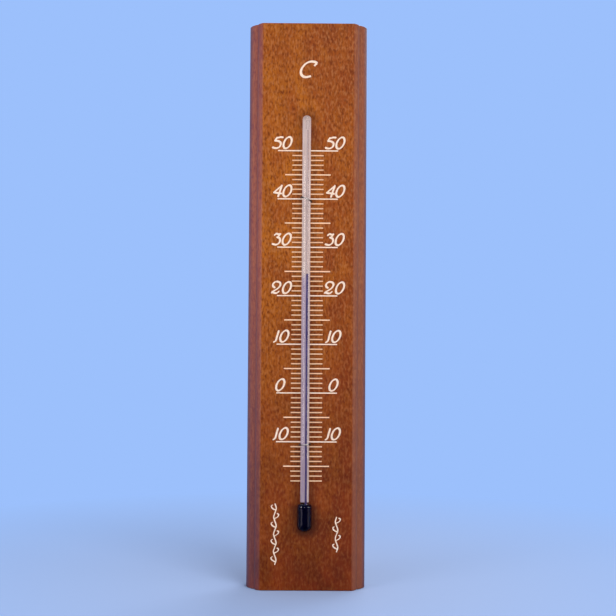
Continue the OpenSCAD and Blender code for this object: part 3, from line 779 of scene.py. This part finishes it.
def carve(piece, parts):
    # Takes each closed cutter out of the piece
    tools = [makePiece(f"cutter{i}", [part], None) for i, part in enumerate(parts)]
    for tool in tools:
        cut = piece.modifiers.new(tool.name, "BOOLEAN")
        cut.object, cut.solver = tool, "EXACT"
    bpy.context.view_layer.update()
    carved = bpy.data.meshes.new_from_object(piece.evaluated_get(bpy.context.evaluated_depsgraph_get()))
    piece.modifiers.clear()
    piece.data = carved
    for tool in tools:
        bpy.data.objects.remove(tool)
    return piece


def hangerCutters(h):
    # The plate's seat, the pocket for a wall screw's head behind the keyhole, and two holes for
    # the plate's screws, which stand a head's radius and a web past the keyhole's ends
    upperScrew = h["slotHeight"] + h["slotHalf"] + h["web"] + h["headRadius"]
    lowerScrew = -h["entry"] - h["web"] - h["headRadius"]
    past = h["headRadius"] + h["rim"] + h["gap"]
    seat = roundedBox(
        h["plateWidth"] + 2 * h["gap"], lowerScrew - past, upperScrew + past, h["corner"] + h["gap"])
    pocket = roundedBox(2 * h["pocketRadius"], -h["pocketRadius"],
                        h["slotHeight"] + h["pocketRadius"], h["pocketRadius"] - h["room"])
    holeRadius, lastAngle = h["screwRadius"] + h["room"], 360 - 360 / h["holeSteps"]
    holes = [ellipseArc(holeRadius, holeRadius, z, 0, lastAngle, h["holeSteps"])
             for z in (lowerScrew, upperScrew)]
    return [throughBack(seat, -h["behind"], h["plateThick"] + h["room"]),
            throughBack(pocket, h["within"], h["plateThick"] + h["pocketDepth"]),
            *(throughBack(hole, h["within"], h["screwLength"]) for hole in holes)]


cutters.append(lathe(
    glassOutline(glass, board["grooveRoom"]) + (0, foot), glass["centre"], glass["steps"]))
cutters += hangerCutters(hanger)
boardWood = carve(makePiece("boardWood", [loft(boardRings(board))], wood), cutters)
place(shadeSmooth(boardWood, sharpAngle=30), "thermometer", "stained_wood", "backboard")
print("board carved,", len(boardWood.data.polygons), "faces")


# Hanger: the plate and its screws, with the edges that stamping and rolling leave round
softening = dict(
    plateRound=0.12, screwRound=0.06, segments=2,
    merge=0.001, flatAngle=0.5, edgeAngle=40,  # mm, and degrees between faces
)


def softenedCopy(s, node, name, width, material):
    # The node's own shape with flat faces joined and its sharp edges rounded by width
    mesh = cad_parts[node].data.copy()
    mesh.name = name
    edit = bmesh.new()
    edit.from_mesh(mesh)
    bmesh.ops.remove_doubles(edit, verts=edit.verts, dist=s["merge"] * mm)
    bmesh.ops.dissolve_limit(
        edit, angle_limit=math.radians(s["flatAngle"]), verts=edit.verts, edges=edit.edges)
    edit.to_mesh(mesh)
    edit.free()
    mesh.materials.clear()
    mesh.materials.append(material)
    piece = bpy.data.objects.new(name, mesh)
    bpy.context.scene.collection.objects.link(piece)
    rounding = piece.modifiers.new("edges", "BEVEL")
    rounding.width, rounding.segments = width * mm, s["segments"]
    rounding.limit_method, rounding.angle_limit = "ANGLE", math.radians(s["edgeAngle"])
    return shadeSmooth(piece)


place(softenedCopy(softening, "hanger_plate", "hangerPlate", softening["plateRound"], plateZinc),
      "thermometer", "zinc_plated_steel", "hanger_plate")
place(softenedCopy(softening, "hanger_screws", "hangerScrews", softening["screwRound"], screwZinc),
      "thermometer", "zinc_plated_screws", "hanger_screws")

# Printed scale: the ink layers keep their own shapes
inkOf = dict(
    ten_degree_lines=creamInk, five_degree_lines=fineInk, degree_lines=finestInk, unit_mark=creamInk,
    left_numerals=creamInk, right_numerals=creamInk, tendrils=creamInk,
)
for name, ink in inkOf.items():
    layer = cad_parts[name]
    layer.data.materials.clear()
    layer.data.materials.append(ink)
print("hanger and scale finished")


# Stage: a pale floor that runs out into the plain backdrop, even light, and four soft lamps
stage = dict(
    backdrop="9CC0FC", floor="AEC9FB", light="FFFAF6", ambient=0.3,
    roomLight=0.03,  # what gloss shows of the dim room in front, beside the backdrop's 1
    roomFrom=-0.5, roomTo=0.1,  # how far towards the front: -1 is straight out of the scale
    frontFrom=-30.0, frontTo=30.0, frontTint="6C6876",  # gloss sees the floor in front as dim
    floorRoughness=0.85, floorShine=0.1, fadeFrom=20.0, fadeTo=240.0,
    floorDrop=0.1, floorRings=(4000, 1200, 400, 100, 0), floorSteps=64,
)
lamps = dict(
    left=dict(place=(-330, -290, -100), aim=(0, -12, -80), size=(200, 300), watts=1.0, tint="FFF8F2"),
    right=dict(place=(225, -454, 425), aim=(0, -12, -80), size=(330, 330), watts=2.5, tint="FFF8F2"),
    far=dict(place=(390, -195, -110), aim=(0, -12, -80), size=(200, 300), watts=0.6, tint="FFF8F2"),
    back=dict(place=(300, 620, 360), aim=(0, 0, -60), size=(600, 450), watts=2.6, tint="FFFAF6"),
)


def seenFrom(tree, *kinds):
    # 1 for rays of any of the kinds, else 0
    ray = addNode(tree, "LightPath").outputs
    seen = ray[kinds[0]]
    for kind in kinds[1:]:
        seen = addNode(tree, "Math", (seen, ray[kind]), operation="MAXIMUM").outputs[0]
    return seen


def addWorld(s):
    # Even light for matt surfaces and the backdrop for the camera. Gloss and glass see the
    # backdrop too; towards the front, gloss sees the dim room and glass the even light.
    world = bpy.data.worlds.new("studio")
    world.use_nodes = True
    tree = world.node_tree
    tree.nodes.clear()
    direction = addNode(tree, "TexCoord").outputs["Generated"]
    towards = addNode(tree, "SeparateXYZ", (direction,)).outputs["Y"]
    room = addNode(tree, "MapRange", (towards, s["roomFrom"], s["roomTo"], s["roomLight"], 1)).outputs[0]
    away = addNode(tree, "MapRange", (towards, s["roomFrom"], s["roomTo"])).outputs[0]
    soft, gloss, plain = (
        addNode(tree, "Background", (linear(colour), strength)).outputs[0]
        for colour, strength in ((s["light"], s["ambient"]), (s["backdrop"], room), (s["backdrop"], 1.0)))
    lit = addNode(tree, "MixShader", (seenFrom(tree, "Is Glossy Ray"), soft, gloss)).outputs[0]
    behind = addNode(
        tree, "Math", (away, seenFrom(tree, "Is Transmission Ray")), operation="MULTIPLY").outputs[0]
    through = addNode(tree, "MixShader", (behind, lit, plain)).outputs[0]
    shown = addNode(tree, "MixShader", (seenFrom(tree, "Is Camera Ray"), through, plain)).outputs[0]
    addNode(tree, "OutputWorld", {"Surface": shown})
    bpy.context.scene.world = world


def addFloor(s):
    # Matt near the object, where its shadow falls, and the backdrop's colour further out; gloss
    # and glass see through it to the same backdrop in the world, and dimly in front
    material, tree, where = newMaterial("paleFloor")
    flat = addNode(tree, "VectorMath", (where, (1, 1, 0)), operation="MULTIPLY").outputs[0]
    distance = addNode(tree, "VectorMath", (flat,), operation="LENGTH").outputs["Value"]
    faded = addNode(tree, "MapRange", (distance, *between(s, "fade"))).outputs[0]
    amount = addNode(tree, "Math", (faded, seenFrom(tree, "Is Camera Ray")), operation="MULTIPLY").outputs[0]
    matt = addNode(tree, "BsdfPrincipled", {
        "Base Color": linear(s["floor"]), "Roughness": s["floorRoughness"],
        "Specular IOR Level": s["floorShine"]}).outputs[0]
    plain = addNode(tree, "Emission", {"Color": linear(s["backdrop"]), "Strength": 1.0}).outputs[0]
    lit = addNode(tree, "MixShader", (amount, matt, plain)).outputs[0]
    depth = addNode(tree, "SeparateXYZ", (where,)).outputs["Y"]
    behind = addNode(tree, "MapRange", (depth, *between(s, "front"))).outputs[0]
    tint = paintOver(tree, linear(s["frontTint"]), (behind, linear("FFFFFF")))
    clear = addNode(tree, "BsdfTransparent", {"Color": tint}).outputs[0]
    mirrored = seenFrom(tree, "Is Glossy Ray", "Is Transmission Ray")
    shown = addNode(tree, "MixShader", (mirrored, lit, clear)).outputs[0]
    addNode(tree, "OutputMaterial", {"Surface": shown})
    outline = np.array([[radius, foot - s["floorDrop"]] for radius in s["floorRings"]])
    floor = makePiece("floor", [lathe(outline, (0, 0), s["floorSteps"])], material, turnOut=False)


def addLamp(name, lamp):
    # A soft box at its place, turned to its aim
    light = bpy.data.lights.new(name, "AREA")
    light.shape, light.energy = "RECTANGLE", lamp["watts"]
    light.size, light.size_y = (value * mm for value in lamp["size"])
    light.color = linear(lamp["tint"])[:3]
    piece = bpy.data.objects.new(name, light)
    spot, aim = (Vector(lamp[key]) * mm for key in ("place", "aim"))
    piece.location = spot
    piece.rotation_euler = (aim - spot).to_track_quat("-Z", "Y").to_euler()
    piece.visible_camera = piece.visible_transmission = False  # glass lets lamps' light straight through
    bpy.context.scene.collection.objects.link(piece)


addWorld(stage)
addFloor(stage)
for name, lamp in lamps.items():
    addLamp(name, lamp)
bpy.context.scene.view_settings.view_transform = "Standard"
print("stage set")
